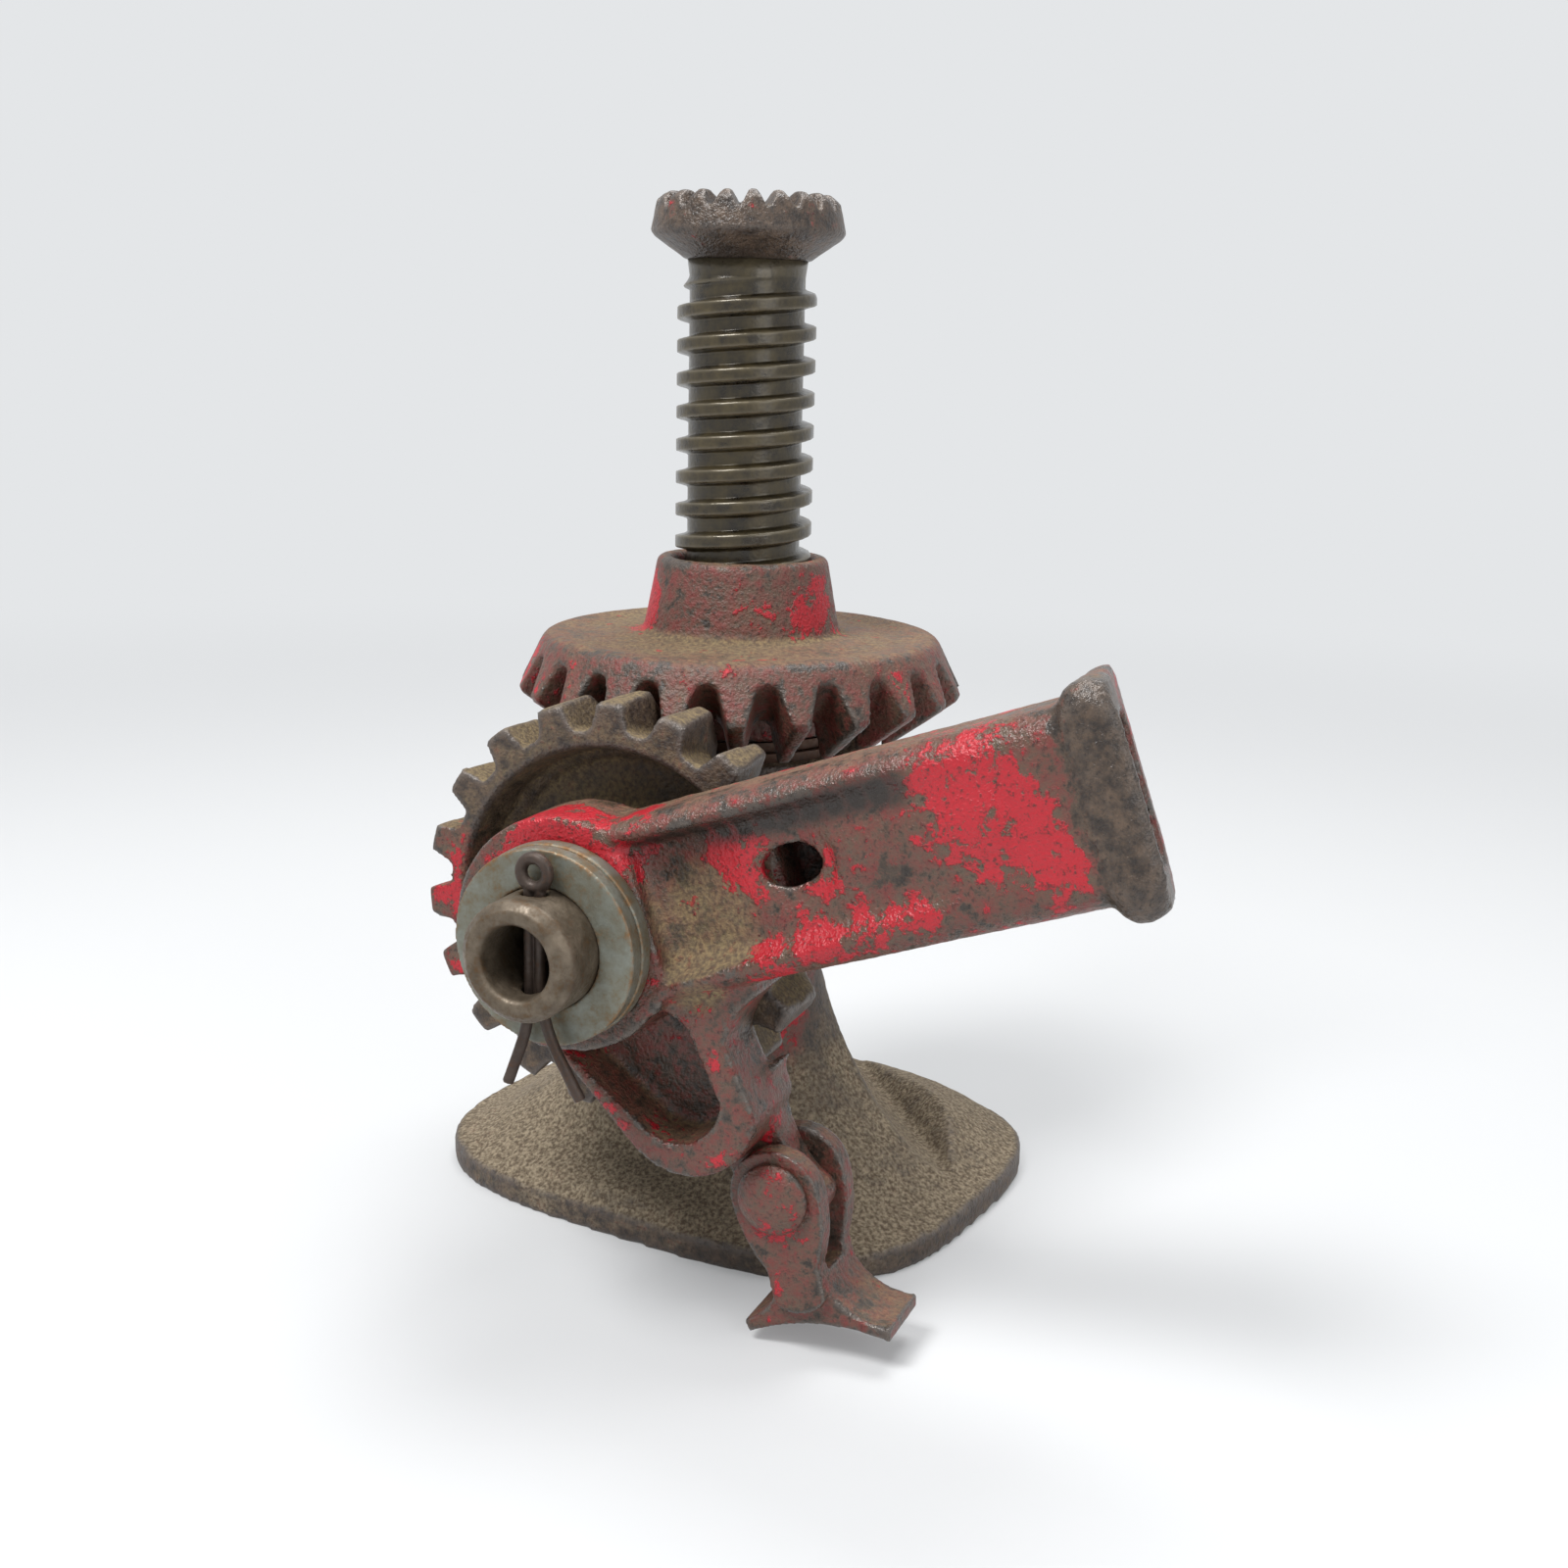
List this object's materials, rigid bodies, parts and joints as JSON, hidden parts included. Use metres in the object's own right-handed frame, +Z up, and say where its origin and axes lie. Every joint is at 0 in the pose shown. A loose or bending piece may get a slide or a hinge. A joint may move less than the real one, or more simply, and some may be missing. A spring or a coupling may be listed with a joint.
{
  "type": "railway track jack",
  "caption": "Screw jack with a flared stand, a bevel crown gear and nut under a toothed cap, and a ratchet lever with a swinging pawl that turns the bevel pinion.",
  "frame": {"origin": "on the lifting screw's axis at floor level", "axes": "+Z up the screw, -Y along the pinion spindle towards the lever, +X towards the lever's mouth"},
  "size_m": [0.2341, 0.2081, 0.2845],
  "materials": {
    "base_iron": "dusty worn cast iron",
    "gear_iron": "rusty dusty cast iron",
    "red_paint": "worn chipped red paint",
    "screw_steel": "greasy dark steel",
    "steel": "dull rusty steel",
    "zinc": "dull zinc plate",
    "bronze": "dull bronze"
  },
  "bodies": {
    "stand": {"base_casting": "base_iron", "column_thrust_washer": "steel", "pinion_spindle": "steel", "spindle_lock_pin": "steel", "pinion_thrust_washer": "steel", "inner_spindle_washer": "zinc", "outer_spindle_washer": "zinc", "cotter_pin": "steel"},
    "crown": {"crown_gear": "gear_iron", "crown_thrust_washer": "steel"},
    "screw": {"lift_screw": "screw_steel", "toothed_cap": "gear_iron", "screw_stop_collar": "steel", "stop_collar_pin": "steel"},
    "pinion": {"pinion_gear": "gear_iron", "pinion_bush": "bronze"},
    "lever": {"lever_casting": "red_paint", "lever_bush": "bronze"},
    "pawl": {"ratchet_pawl": "red_paint", "pawl_pin": "steel", "pawl_pin_washer": "steel"}
  },
  "joints": [
    {"name": "crown_spin", "type": "hinge", "parent": "stand", "child": "crown", "pos_m": [0, 0, 0.15], "axis": [0, 0, 1], "range_deg": [-1800, 2880]},
    {"name": "screw_lift", "type": "slide", "parent": "stand", "child": "screw", "axis": [0, 0, 1], "range_m": [-0.071, 0.0445]},
    {"name": "pinion_spin", "type": "hinge", "parent": "stand", "child": "pinion", "pos_m": [0, -0.06, 0.1046], "axis": [0, 1, 0], "range_deg": [-2180, 3490]},
    {"name": "lever_swing", "type": "hinge", "parent": "stand", "child": "lever", "pos_m": [0, -0.09, 0.1046], "axis": [0, -1, 0], "range_deg": [0, 65]},
    {"name": "pawl_swing", "type": "hinge", "parent": "lever", "child": "pawl", "pos_m": [0.052, -0.079, 0.0416], "axis": [0, -1, 0], "range_deg": [-14, 135]}
  ],
  "couplings": [
    {"joint": "screw_lift", "follows": "crown_spin", "m_per_rad": -0.0014085},
    {"joint": "pinion_spin", "follows": "crown_spin", "ratio": 1.2105}
  ]
}
